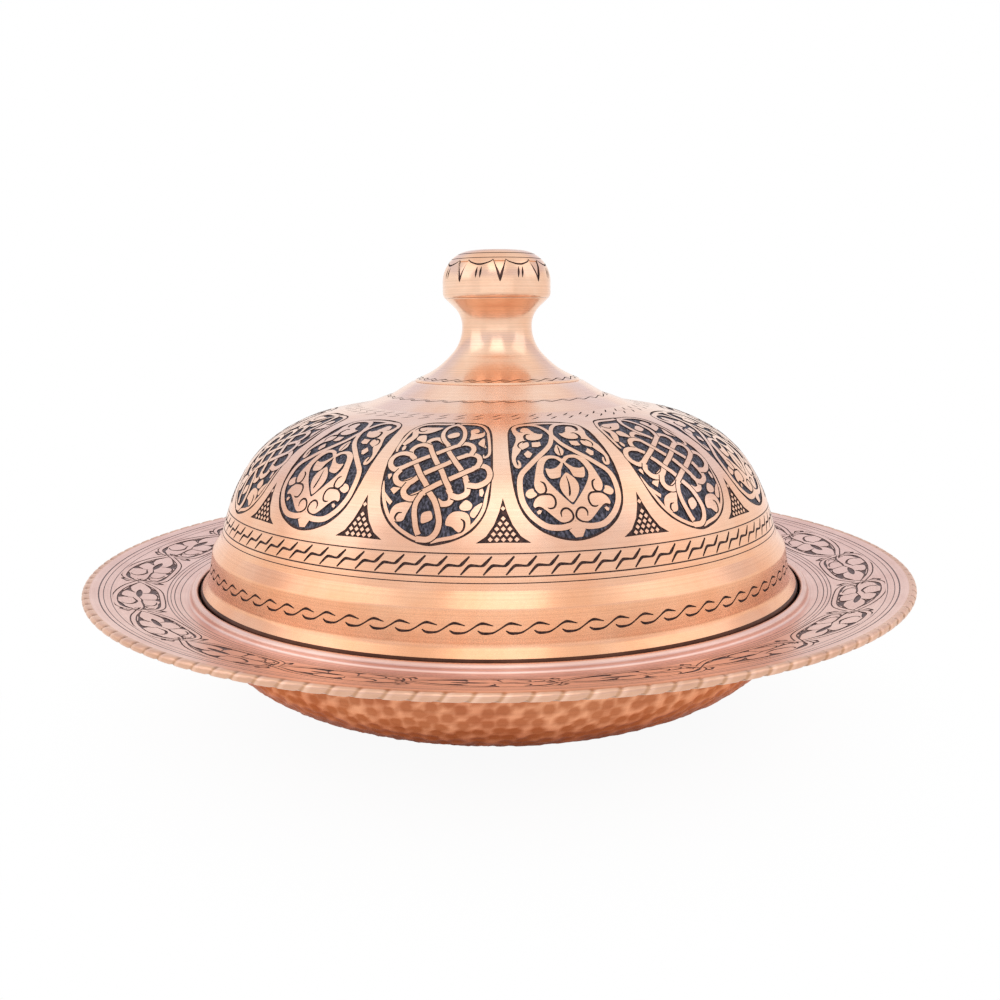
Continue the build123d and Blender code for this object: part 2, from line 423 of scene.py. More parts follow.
# Hammer blows fall at random, no closer than Spacing; each leaves a round hollow that mask fades at the rims
hammerMarks = shapeTree(
    "hammerMarks",
    {"Sheet": "Geometry", "Depth": "Float", "Spacing": "Float", "MarkRadius": "Float", "Seed": "Int",
     "Metal": "Material"},
    {"in": ("NodeGroupInput",), "near": ("GeometryNodeProximity", {"target_element": "POINTS"}),
     "blows": ("GeometryNodeDistributePointsOnFaces",
               {"distribute_method": "POISSON", "Density Max": 400000.0}),
     "share": ("ShaderNodeMath", {"operation": "DIVIDE"}),
     "square": ("ShaderNodeMath", {"operation": "POWER", 1: 2.0}),
     "pit": ("ShaderNodeMath", {"operation": "SUBTRACT", "use_clamp": True, 0: 1.0}),
     "mask": ("GeometryNodeInputNamedAttribute", {"data_type": "FLOAT", "Name": "mask"}),
     "masked": ("ShaderNodeMath", {"operation": "MULTIPLY"}),
     "deep": ("ShaderNodeMath", {"operation": "MULTIPLY"}),
     "keep": ("GeometryNodeStoreNamedAttribute", {"data_type": "FLOAT", "Name": "beaten"}),
     "inward": ("ShaderNodeMath", {"operation": "MULTIPLY", 1: -1.0}), "normal": ("GeometryNodeInputNormal",),
     "push": ("ShaderNodeVectorMath", {"operation": "SCALE"}), "set": ("GeometryNodeSetPosition",),
     "real": ("GeometryNodeRealizeInstances",), "metal": ("GeometryNodeSetMaterial",),
     "out": ("NodeGroupOutput",)},
    [("in", "Sheet", "blows", "Mesh"), ("in", "Spacing", "blows", "Distance Min"),
     ("in", "Seed", "blows", "Seed"), ("blows", "Points", "near", 0), ("near", "Distance", "share", 0),
     ("in", "MarkRadius", "share", 1),
     ("share", 0, "square", 0), ("square", 0, "pit", 1), ("pit", 0, "masked", 0), ("mask", 0, "masked", 1),
     ("in", "Sheet", "keep", "Geometry"), ("masked", 0, "keep", "Value"), ("masked", 0, "deep", 0),
     ("in", "Depth", "deep", 1), ("deep", 0, "inward", 0), ("normal", 0, "push", 0),
     ("inward", 0, "push", "Scale"), ("keep", 0, "set", "Geometry"), ("push", 0, "set", "Offset"),
     ("set", 0, "real", 0),
     ("real", 0, "metal", "Geometry"), ("in", "Metal", "metal", "Material"), ("metal", 0, "out", 0)])


def grown(mesh, tree, values):
    holder = bpy.data.objects.new(mesh.name, mesh)
    bpy.context.scene.collection.objects.link(holder)
    modifier = holder.modifiers.new("grow", "NODES")
    modifier.node_group = tree
    for item in tree.interface.items_tree:
        if item.item_type == "SOCKET" and item.in_out == "INPUT" and item.name in values:
            modifier[item.identifier] = values[item.name]
    graph = bpy.context.evaluated_depsgraph_get()
    graph.update()
    full = bpy.data.meshes.new_from_object(holder.evaluated_get(graph), preserve_all_data_layers=True,
                                           depsgraph=graph)
    holder.modifiers.remove(modifier)
    bpy.data.objects.remove(holder)
    return full


def readAll(items, key, wide=1, kind=float):
    values = np.empty(len(items) * wide, dtype=kind)
    items.foreach_get(key, values)
    return values.reshape(-1, wide) if wide > 1 else values


def addMesh(skin, mesh):
    corners = readAll(mesh.loops, "vertex_index", kind=np.int32)
    starts = readAll(mesh.polygons, "loop_start", kind=np.int32)
    faces = [tuple(int(corner) for corner in face) for face in np.split(corners, starts[1:])]
    marks = mesh.attributes
    kinds = readAll(marks["kind"].data, "value", kind=np.int32).tolist()
    addToSkin(skin, readAll(mesh.vertices, "co", 3), readAll(marks["lean"].data, "value"),
              readAll(marks["track"].data, "vector", 2), faces, kinds,
              readAll(marks["beaten"].data, "value") if "beaten" in marks else None)
    bpy.data.meshes.remove(mesh)


def addRing(skin, cell, count, metal, engraving):
    addMesh(skin, grown(cell, ringOfCells, dict(Count=count, Weld=1e-6, Metal=metal, Engraving=engraving)))


def addCuts(skin, name, line, ring, shapes, levels, metal, engraving):
    # A ring is turned by whole columns, so that it meets the strips; its shapes take up the rest of the angle
    count, angle = ring["count"], ring.get("turn", 0.0)
    refR, column = count * ring["pitch"] / (2 * pi), 2 * pi / (count * ring["columns"])
    turn = round(angle / column) * column
    moved = [(level, shape + np.array([(angle - turn) * refR, 0.0])) for level, shape in shapes]
    cell = cutCell(name, line, ring, moved, levels, refR)
    cell.transform(Matrix.Rotation(turn, 4, "Z"))
    addRing(skin, cell, count, metal, engraving)


def mergeDoubles(mesh):
    work = bmesh.new()
    work.from_mesh(mesh)
    bmesh.ops.remove_doubles(work, verts=work.verts, dist=3e-6)
    bmesh.ops.dissolve_degenerate(work, edges=work.edges, dist=1e-7)
    work.to_mesh(mesh)
    work.free()


def setNormals(mesh, kinds):
    # Spun faces lean as their section does, beaten ones as the mesh does, and walls are flat
    leans, points = readAll(mesh.attributes["lean"].data, "value"), readAll(mesh.vertices, "co", 3)
    r = np.maximum(np.hypot(points[:, 0], points[:, 1]), 1e-9)
    spun = np.stack([np.cos(leans) * points[:, 0] / r, np.cos(leans) * points[:, 1] / r, np.sin(leans)], axis=1)
    corners = readAll(mesh.loops, "vertex_index", kind=np.int32)
    starts = readAll(mesh.polygons, "loop_start", kind=np.int32)
    faceOf = np.repeat(np.arange(len(starts)), np.diff(np.append(starts, len(corners))))
    faceNormals = readAll(mesh.polygons, "normal", 3)[faceOf]
    normals = spun[corners]
    beaten = ((kinds == hammerFace) | (kinds == ropeFace))[faceOf]
    normals[beaten] = readAll(mesh.vertices, "normal", 3)[corners][beaten]
    flat = (kinds >= wallFace)[faceOf] | ((normals * faceNormals).sum(axis=1) < 0.2)
    normals[flat] = faceNormals[flat]
    mesh.polygons.foreach_set("use_smooth", np.ones(len(mesh.polygons), dtype=bool))
    mesh.normals_split_custom_set(normals.tolist())


def finishSkin(name, skin, finishOf, body, replaced):
    mesh = markedMesh(name, np.vstack(skin["points"]), np.hstack(skin["leans"]), np.vstack(skin["tracks"]),
                      skin["faces"], skin["kinds"])
    if np.hstack(skin["beaten"]).any():
        mesh.attributes.new("beaten", "FLOAT", "POINT").data.foreach_set("value", np.hstack(skin["beaten"]))
    mergeDoubles(mesh)
    finishes = list(dict.fromkeys(finishOf.values()))
    for finish in finishes:
        mesh.materials.append(finish)
    slotOf = {kind: finishes.index(finish) for kind, finish in finishOf.items()}
    kinds = readAll(mesh.attributes["kind"].data, "value", kind=np.int32)
    mesh.polygons.foreach_set("material_index", np.array([slotOf[kind] for kind in kinds], dtype=np.int32))
    setNormals(mesh, kinds)
    mesh.attributes.remove(mesh.attributes["lean"])
    mesh.attributes.remove(mesh.attributes["kind"])
    piece = bpy.data.objects.new(name, mesh)
    bpy.context.scene.collection.objects.link(piece)
    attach(piece, body)
    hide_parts(replaced)
    print(f"{name}: {len(mesh.loops) - 2 * len(mesh.polygons)} triangles")


# Finishes

def newFinish(name):
    finish = bpy.data.materials.new(name)
    finish.use_nodes = True
    tree = finish.node_tree
    return finish, tree, tree.nodes["Principled BSDF"], addNode(tree, "ShaderNodeTexCoord").outputs["Object"]


def maths(tree, operation, *parts):
    return addNode(tree, "ShaderNodeMath", {"operation": operation, **dict(enumerate(parts))}).outputs[0]


def noise(tree, scale, detail, rough, values):
    values = {**values, "Scale": scale, "Detail": detail, "Roughness": rough}
    return addNode(tree, "ShaderNodeTexNoise", values).outputs["Fac"]


def spread(tree, value, low, high, toLow=0.0, toHigh=1.0, kind="LINEAR"):
    values = {"interpolation_type": kind, "From Min": low, "From Max": high, "To Min": toLow, "To Max": toHigh}
    return addNode(tree, "ShaderNodeMapRange", {**values, "Value": value}).outputs[0]


def ramp(tree, share, stops):
    made = addNode(tree, "ShaderNodeValToRGB", {"Fac": share})
    elements = made.color_ramp.elements
    for element, (place, colour) in zip(elements, (stops[0], stops[-1])):
        element.position, element.color = place, (*colour, 1)
    for place, colour in stops[1:-1]:
        elements.new(place).color = (*colour, 1)
    return made.outputs["Color"]


def mixed(tree, blend, share, first, second):
    values = {"data_type": "RGBA", "blend_type": blend, "Factor": share, 1: first, 2: second}
    return socketOf(addNode(tree, "ShaderNodeMix", values).outputs, 0)


def metal(name, light, dark, rough, spin, grain=0.35, stretch=0.0, low=None, pitShade=None, notchShading=None, rim=None):
    finish, tree, shader, place = newFinish(name)
    split = addNode(tree, "ShaderNodeSeparateXYZ", {"Vector": place}).outputs
    track = addNode(tree, "ShaderNodeAttribute", {"attribute_name": "track"}).outputs["Vector"]
    run = addNode(tree, "ShaderNodeSeparateXYZ", {"Vector": track}).outputs["Y"]
    marks = noise(tree, spin, 4.0, 0.7, {"noise_dimensions": "1D", "W": run})
    cloud = noise(tree, 55.0, 5.0, 0.6, {"Vector": place})
    speck = noise(tree, 900.0, 3.0, 0.7, {"Vector": place})
    colour = ramp(tree, cloud, [(0.32, dark), (0.66, light)])
    colour = mixed(tree, "MULTIPLY", grain, colour, spread(tree, marks, 0.3, 0.7, 0.76, 1.08))
    # The tint by height is painted: reflection on the lid's skirt, shade on the bowl's lower part
    if low:
        tint = ramp(tree, spread(tree, split["Z"], low[0], low[1]), [(0.0, low[2]), (1.0, low[3])])
        colour = mixed(tree, "MULTIPLY", 1.0, colour, tint)
    # pitShade paints shade in the hollow of each hammer blow, darker the deeper the blow
    if pitShade:
        beaten = addNode(tree, "ShaderNodeAttribute", {"attribute_name": "beaten"}).outputs["Fac"]
        tint = ramp(tree, spread(tree, beaten, pitShade[0], pitShade[1]), [(0.0, pitShade[2]), (1.0, pitShade[3])])
        colour = mixed(tree, "MULTIPLY", 1.0, colour, tint)
    # Painted shade and highlight of the notches, striped round the edge with their slant
    if notchShading:
        angle = maths(tree, "ARCTAN2", split["X"], maths(tree, "MULTIPLY", split["Y"], -1.0))
        turns = maths(tree, "MULTIPLY", angle, notchShading["count"] / (2 * pi))
        slant = notchShading["slant"] / (notchShading["radius"] * mm * 2 * pi) * notchShading["count"]
        slanted = maths(tree, "MULTIPLY_ADD", split["Z"], -slant, slant * notchShading["height"] * mm)
        notchShade = ramp(tree, maths(tree, "FRACT", maths(tree, "ADD", turns, slanted)), notchShading["paintedTones"])
        colour = mixed(tree, "MULTIPLY", 1.0, colour, notchShade)
    bump = addNode(tree, "ShaderNodeBump", {"Strength": 0.08, "Distance": 0.0001, "Height": marks}).outputs[0]
    fill(tree, shader, {"Base Color": colour, "Roughness": spread(tree, speck, 0.3, 0.7, *rough),
                        "Normal": bump, "Metallic": 1.0})
    if rim:
        fill(tree, shader, {"Specular Tint": (*rim, 1)})
    if stretch:
        around = addNode(tree, "ShaderNodeTangent", {"direction_type": "RADIAL", "axis": "Z"}).outputs[0]
        fill(tree, shader, {"Tangent": around, "Anisotropic": stretch, "Anisotropic Rotation": 0.25})
    return finish


def engraved(name, deep, lit):
    finish, tree, shader, place = newFinish(name)
    hatch = {"Rotation": (0, radians(35), 0), "Scale": (1, 1, 0.22), "Vector": place}
    grit = noise(tree, 1600.0, 2.0, 0.6, {"Vector": addNode(tree, "ShaderNodeMapping", hatch).outputs[0]})
    bump = addNode(tree, "ShaderNodeBump", {"Strength": 0.5, "Distance": 0.0002, "Height": grit}).outputs[0]
    fill(tree, shader, {"Base Color": ramp(tree, grit, [(0.42, deep), (0.72, lit)]), "Normal": bump,
                        "Metallic": 0.4, "Roughness": 0.6})
    return finish


white = (1.0, 1.0, 1.0)
# Light and dark colour, roughness and spin marks a millimetre; low is a tint by height, painted reflection on
# the lid and painted shade on the bowl, and pitShade is painted shade by the depth of a blow
# The lid's low tint is painted reflection: it grows more orange from the dome down to the skirt, for the copper
# rim that the skirt reflects
lidCopper = metal("lidCopper", (0.98, 0.70, 0.55), (0.93, 0.58, 0.41), (0.24, 0.3), 1.6, grain=0.45,
                  stretch=0.75, low=(0.056, 0.1, (1.0, 0.78, 0.6), white))
rimCopper = metal("rimCopper", (0.92, 0.63, 0.53), (0.82, 0.52, 0.43), (0.3, 0.4), 1.2, grain=0.5)
knobCopper = metal("knobCopper", (0.97, 0.66, 0.48), (0.90, 0.53, 0.35), (0.18, 0.26), 1.6, grain=0.45,
                   stretch=0.7)
# The bowl's copper is painted with shade: darker than the lid's for the shadowed floor it reflects, darker
# again towards the bottom for the dish's own shadow, and darker in each hammer hollow
bowlCopper = metal("bowlCopper", (0.88, 0.40, 0.22), (0.76, 0.30, 0.16), (0.24, 0.34), 0.6,
                   rim=(0.8, 0.5, 0.42), low=(0.011, 0.025, (0.42, 0.32, 0.33), white),
                   pitShade=(0.05, 0.7, white, (0.62, 0.48, 0.4)))
# Painted shade: a dark brown for the shade in the gap where the lid's foot stands in the dish's bead
tarnish = metal("tarnish", (0.13, 0.055, 0.035), (0.07, 0.03, 0.02), (0.4, 0.55), 0.7)
tinLining = metal("tinLining", (0.72, 0.70, 0.67), (0.60, 0.58, 0.55), (0.3, 0.48), 0.5)
brazeBrass = metal("brazeBrass", (0.75, 0.55, 0.24), (0.6, 0.42, 0.18), (0.35, 0.5), 0.7)
lineCut = engraved("lineCut", (0.03, 0.012, 0.01), (0.14, 0.06, 0.045))
groundCut = engraved("groundCut", (0.012, 0.010, 0.015), (0.17, 0.16, 0.21))
rimLine = engraved("rimLine", (0.09, 0.045, 0.04), (0.26, 0.15, 0.13))
rimHatch = engraved("rimHatch", (0.09, 0.055, 0.055), (0.3, 0.2, 0.19))
print("finishes ready")


lidSizes = dict(footColumns=420, columns=392, crownColumns=280, innerColumns=126, gauge=1.0, cut=0.28,
                shadedFootRun=4.9, zip=1.2)
lidCorners = [(103.9, 39.6), (103.9, 43.6), (101.0, 46.8), (99.4, 56.6), (96.3, 60.8), (91.8, 75.6),
              (82.5, 90.6), (64.9, 100.2), (46.0, 103.4), (40.2, 105.6), (37.0, 106.6), (29.8, 110.9),
              (1.5, 110.9)]
lidBends = [1.6, 3.0, 2.2, 1.4, 55.0, 38.0, 50.0, 1.4, 1.4, 1.4, 1.4]
lidLine = bentLine(lidCorners, lidBends)
# A ring is cut from run to run of its band; a cell of it is pitch wide and has strokes of (level, path, widths)
lidRings = dict(
    chain=dict(band=(11.4, 15.0), count=84, pitch=7.26, columns=5, strokes=[
        (1, [(-5.6, 12.6), (-4.3, 11.9), (-1.8, 12.03), (0.0, 12.96), (1.76, 14.17), (3.2, 14.53), (5.7, 13.9)],
         [0.3, 0.72, 0.55, 0.42, 0.55, 0.72, 0.25])]),
    chevrons=dict(band=(27.4, 33.0), count=98, pitch=6.22, columns=4, strokes=[
        (1, [(-4.3, 27.586), (-2.1, 29.911), (-0.7, 30.1435), (1.3, 30.004), (2.3, 30.562), (4.3, 32.608)],
         [0.45, 0.85, 0.75, 0.6, 0.95, 0.5])]),
    medallions=dict(band=(34.6, 85.2), count=7, pitch=2 * pi * 90 / 7, columns=56, grid=3.0,
                    centre=-2 * pi * 90 / 28, turn=radians(13.66)),
    ticks=dict(band=(87.2, 94.0), count=56, pitch=2 * pi * 52 / 56, columns=5, strokes=[
        (1, [(-1.6, 87.6), (-0.2, 88.7), (1.4, 90.1)], [0.2, 0.55, 0.25]),
        (1, [(-1.8, 90.9), (-0.3, 92.1), (1.3, 93.5)], [0.2, 0.55, 0.25]),
        (2, [(1.0, 90.1), (-0.2, 90.7), (-1.4, 91.1)], 0.16)]),
    wave=dict(band=(102.4, 105.2), count=35, pitch=2 * pi * 34 / 35, columns=8, strokes=[
        (1, [(-4.2, 103.4), (-2.6, 102.9), (-0.4, 103.5), (1.6, 104.1), (3.6, 103.8)],
         [0.2, 0.42, 0.34, 0.42, 0.2])]))
# Run, width and depth of the grooves in the plain strips above the chain and above the chevrons
lidGrooves = dict(chain=[(25.4, 0.28, 0.2), (27.15, 0.4, 0.2)], chevrons=[(33.3, 0.36, 0.2)])
# The medallions were traced in 1/20 mm, with y down; midRun is the run at midRow
medallionTrace = dict(middle=403.5, pixel=20.0, midRun=59.7, midRow=510.0, stretch=1.035, mirror=396)
# Each triangle between medallions is a cut with rows of dots left standing in it; side goes up from its foot
triangleSizes = dict(side=[(7.3, 36.1), (4.6, 38.0), (2.5, 41.2), (1.1, 44.8)], foot=36.3, tip=48.9,
                     rows=8, firstRow=37.15, rowStep=1.45, dotStep=1.75, dot=0.68, reach=5.6, height=9.6,
                     bow=1.35, over=0.05)


def pathOf(text):
    return [tuple(float(part) for part in pair.split(",")) for pair in text.split()]


def strokesOf(ring):
    return [(level, stroke(*parts)) for level, *parts in ring["strokes"]]


def medallionShapes(rows, mirrorAt=None):
    shapes, trace, pixel = [], medallionTrace, medallionTrace["pixel"]
    for level, width, text in rows:
        for flip in (False,) if mirrorAt is None or isinstance(level, float) else (False, True):
            points = [((2 * mirrorAt - px if flip else px), py) for px, py in pathOf(text)]
            points = [((px - trace["middle"]) / pixel,
                       trace["midRun"] + (trace["midRow"] - py) / pixel * trace["stretch"])
                      for px, py in points]
            if width == 0:
                shapes.append((int(level), np.array(points) if len(points) <= 5 else blob(points)))
            else:
                widths = [w / pixel for w in width] if isinstance(width, list) else width / pixel
                shapes.append((int(level), stroke(points, widths)))
    return shapes


# Levels: 0 face, 1 line, 2 fine line, 3 ground. A whole number is mirrored, one with .0 after it isn't.
# A row is (level, width or widths of a stroke, path), and its path is an outline where the width is 0
palmetteRows = [
    (3.0, 0, "396,36 300,42 200,62 130,90 85,130 62,190 55,250 52,400 58,550 72,680 100,780 145,850 200,898 "
            "250,925 320,950 396,960 472,950 542,925 592,898 647,850 692,780 720,680 734,550 740,400 737,250 "
            "730,190 707,130 662,90 592,62 492,42"),
    (0.0, 28, "150,105 250,75 393,62 536,75 640,105"),
    (0, 33, "396,862 355,885 300,892 235,882 180,845 140,800 112,745 101,680 104,610 122,565 165,520 215,470 "
            "265,425 315,378 352,335 378,285 396,235 412,185 438,140 475,105 530,86 590,84 640,98 678,128 "
            "692,165"),
    (0, [40, 50, 60, 55, 50, 60, 30, 24, 22, 20, 16, 10], "110,150 118,200 140,240 135,290 115,340 105,375 "
            "80,440 78,480 90,515 108,520 113,495 104,472"),
    (0, 0, "110,190 165,200 200,212 185,232 172,262 178,295 130,300 115,262 105,230"),
    (0, 0, "158,170 175,143 205,132 232,145 250,180 262,205 200,225 165,200"),
    (0, 0, "200,225 262,207 300,222 328,222 315,255 290,280 245,290 205,285 188,262 195,235"),
    (0, 0, "140,340 158,318 190,308 198,325 193,350 165,368 140,378"),
    (0, 0, "222,312 285,308 282,345 255,358 216,356"),
    (0, 0, "180,388 207,418 185,450 165,450 148,418"),
    (2, [4, 12, 13, 12, 4], "228,222 200,222 180,238 173,262 176,292"),
    (2, [4, 10, 12, 12, 12, 10, 4], "235,110 200,110 165,118 140,135 133,160 145,185 175,198"),
    (2, [4, 11, 12, 11, 10, 4], "200,300 165,300 135,312 118,335 120,355 132,370"),
    (0.0, 0, "398,342 375,372 365,402 378,432 398,440 415,432 430,400 420,370"),
    (2.0, [3, 9, 9, 3], "400,352 400,380 398,415 396,445"),
    (0.0, 0, "396,468 375,450 340,438 300,437 262,452 232,482 216,520 204,560 194,600 186,640 190,668 203,690 "
            "216,700 190,722 175,745 170,768 180,778 205,775 228,785 258,812 290,842 318,862 355,864 380,850 "
            "396,858 412,850 437,864 474,862 502,842 534,812 564,785 587,775 612,778 622,768 617,745 602,722 "
            "576,700 589,690 602,668 606,640 598,600 588,560 576,520 560,482 530,452 492,437 452,438 417,450"),
    (3.0, 0, "396,500 385,498 368,478 345,463 312,463 288,478 268,508 258,540 252,570 262,605 290,650 330,700 "
            "370,745 396,768 422,745 462,700 502,650 530,605 540,570 534,540 524,508 504,478 480,463 447,463 "
            "424,478 407,498"),
    (2, [5, 12, 12, 12, 10, 4], "225,622 245,635 253,660 250,685 235,698 203,700"),
    (2, [4, 10, 12, 12, 12, 12, 11, 9, 4], "175,735 205,708 240,702 275,705 295,725 298,755 285,780 262,785 "
            "248,780"),
    (2, [4, 10, 12, 12, 12, 12, 12, 10, 4], "322,835 320,810 335,790 360,788 380,805 388,830 380,850 355,865 "
            "320,868"),
    (2, [4, 10, 10, 4], "168,795 185,780 205,777 225,785"),
    (0, 0, "185,800 200,790 215,795 205,812 192,815"),
    (0, 0, "272,537 300,542 335,535 362,515 385,492 392,505 380,530 368,550 360,580 350,598 310,607 288,602 "
            "275,575"),
    (0.0, 0, "392,570 370,590 350,615 338,650 345,690 370,730 390,752 402,752 422,730 447,690 454,650 442,615 "
            "422,590 400,570"),
    (2.0, [3, 9, 12, 12, 4], "390,592 395,640 393,680 388,705 384,718"),
    (0, 0, "133,690 150,672 175,667 182,685 196,702 175,718 150,723 132,708"),
    (0.0, 0, "354,908 396,878 446,905 425,945 385,948"),
]
knotFrame = ("400,38 300,42 250,40 150,52 100,75 60,130 40,180 32,250 40,350 48,450 55,540 68,620 85,700 "
             "105,770 140,830 190,885 260,930 330,962 400,978 460,972 540,950 620,910 670,860 705,800 728,720 "
             "735,640 742,560 742,450 738,350 735,260 725,190 705,130 670,85 620,60 550,45 450,45")
knotStraps = [  # in the order that they are laid, the upper of two later
    (32, "215,450 250,510 350,640 385,700"), (32, "425,335 445,400 545,530 590,600"),
    (32, "200,508 310,443 362,412 470,350 500,335"), (32, "200,640 285,597 335,560 460,490 520,450 580,425"),
    (32, "270,722 335,690 435,628 495,600 600,545 660,520"),
    (32, "290,345 330,410 385,490 430,550 465,615 500,670"), (32, "276,546 300,579 328,614"),
    (32, "472,436 495,467 520,500"), (32, "374,540 412,517 452,495"),
    (34, "290,345 262,315 280,285 320,272 355,285 390,310 425,335"),
    (34, "290,350 240,335 195,350 172,390 185,430 215,455"),
    (34, "185,430 130,420 85,435 62,475 75,520 115,548 160,535 200,508"),
    (34, "160,550 140,590 160,630 200,645 250,630 285,600"),
    (34, "240,640 220,680 235,715 275,730 320,715 350,690"), (34, "430,735 465,755 505,745 512,705 490,665"),
    (34, "512,705 555,715 600,690 600,640 585,600"),
    (34, "600,640 660,645 715,615 732,570 715,525 670,508 625,530"),
    (34, "650,515 665,475 650,435 605,418 560,430"), (34, "600,418 615,375 595,335 545,318 500,335"),
    (32, "425,335 385,295 355,250 340,200 345,145 375,100 410,75"),
    (32, "500,335 520,290 525,240 512,180 485,130 450,95 420,80"),
    (30, "335,700 312,750 310,800 320,850 335,900 350,928"),
    (32, "385,695 420,740 445,800 458,860 445,915 405,950 340,950"),
]
strapCasing = 13
knotRows = [
    (3.0, 0, knotFrame),
    (0.0, [6, 18, 20, 20, 20, 20, 20, 20], "75,630 92,690 120,760 160,830 215,885 280,925 340,950 400,958"),
    (0.0, [8, 18, 20, 20, 20, 20, 20, 16], "732,620 715,700 700,780 660,850 600,905 540,935 470,950 420,965"),
    (0.0, [26, 26, 26, 26, 26, 24, 22, 20, 20, 18, 14, 6], "400,70 470,60 540,62 610,75 660,110 695,170 "
            "712,250 722,330 725,400 715,430 690,445 685,420"),
    (0.0, [30, 30, 30, 28, 26, 26, 26, 24, 20, 14], "380,60 300,68 200,70 120,85 75,130 60,170 52,200 50,300 "
            "55,380 65,410"),
    (0.0, [20, 40, 50, 50, 30], "62,185 92,200 118,250 100,300 78,345"),
    (0.0, 0, "400,215 440,195 470,200 478,235 440,258 405,262 385,235"),
    (0.0, 0, "355,815 385,798 408,800 418,838 385,860 358,862"),
    (0.0, 0, "285,750 230,753 190,770 170,800 172,835 200,860 250,855 265,815 280,780"),
    (2.0, [4, 12, 12, 4], "240,810 215,815 203,840 215,860"),
    (0.0, 0, "495,870 500,830 530,800 575,795 615,810 630,850 625,890 600,915 560,905 530,880"),
    (2.0, [4, 12, 12, 10, 4], "575,835 595,850 598,880 585,905 560,915"),
    (0.0, 0, "568,760 600,730 635,755 625,785 590,790 568,780"),
    (0.0, 0, "672,670 690,660 700,685 690,710 675,705"),
    (0.0, 0, "625,810 650,770 690,745 690,760 665,810 645,830"),
    (0.0, 0, "305,130 270,178 225,208 160,218 105,208 80,180 95,150 150,130 200,130"),
    (2.0, [4, 10, 12, 12, 12, 12, 12, 12, 10, 4], "180,165 170,185 150,192 125,185 105,165 103,140 115,118 "
            "150,108 200,100 250,98"),
    (0.0, 0, "158,245 205,235 225,260 238,300 232,318 190,300 155,285"),
    (0.0, 0, "97,350 112,360 115,385 100,398 88,380 88,362"),
    (0.0, 0, "560,165 600,142 628,158 632,188 612,205 660,200 672,180 680,200 676,235 650,255 612,268 570,278 "
            "572,230"),
    (2.0, [4, 12, 12, 12, 10, 4], "610,112 645,130 655,160 650,190 625,205 600,200"),
    (0.0, 0, "642,305 668,268 682,268 690,320 700,362 668,345 645,328"),
    (2.0, [4, 9, 9, 4], "692,190 694,250 692,310 688,355"),
    (0.0, 0, "85,585 105,578 115,590 105,620 90,600"), (0.0, 0, "135,680 150,665 198,668 165,708"),
    (0.0, 0, "103,695 130,720 168,752 158,772 125,745"),
]
knotRows.insert(1, (1.0, 15, knotFrame + " 400,38"))
palmetteRows.insert(1, (1.0, 13, palmetteRows[0][2] + " 396,36"))
for strapWidth, strapPath in knotStraps:
    knotRows += [(1.0, strapWidth + strapCasing, strapPath), (0.0, strapWidth, strapPath)]


def triangleShapes(x):
    sizes = triangleSizes
    left, right = ([(x + way * reach, y) for reach, y in sizes["side"]] for way in (-1, 1))
    outline = left[:1] + [(x, sizes["foot"])] + right + [(x, sizes["tip"])] + left[:0:-1]
    dense = []
    for a, b in zip(outline, outline[1:] + outline[:1]):
        dense += [a, (a[0] + (b[0] - a[0]) / 2, a[1] + (b[1] - a[1]) / 2)]
    shapes = [(1, np.array(dense))]
    dot, step = sizes["dot"], sizes["dotStep"]
    for row in range(sizes["rows"]):
        y = sizes["firstRow"] + row * sizes["rowStep"]
        reach = sizes["reach"] * max(0.0, 1 - (y - sizes["foot"]) / sizes["height"]) ** sizes["bow"]
        most = int(reach / step + 0.45)
        for number in range(-most, most + 1):
            px = x + number * step + step / 2 * (row % 2)
            if abs(px - x) < reach + sizes["over"]:
                shapes.append((0, np.array([(px - dot, y), (px, y - dot), (px + dot, y), (px, y + dot)])))
    return shapes


def allMedallions():
    # A palmette in the middle, a knot to its left and a triangle between each two
    apart = lidRings["medallions"]["pitch"] / 2
    knots = [(level, shape + np.array([-apart, 0])) for level, shape in medallionShapes(knotRows)]
    palmettes = medallionShapes(palmetteRows, medallionTrace["mirror"])
    return palmettes + knots + triangleShapes(-apart / 2) + triangleShapes(-apart * 1.5)


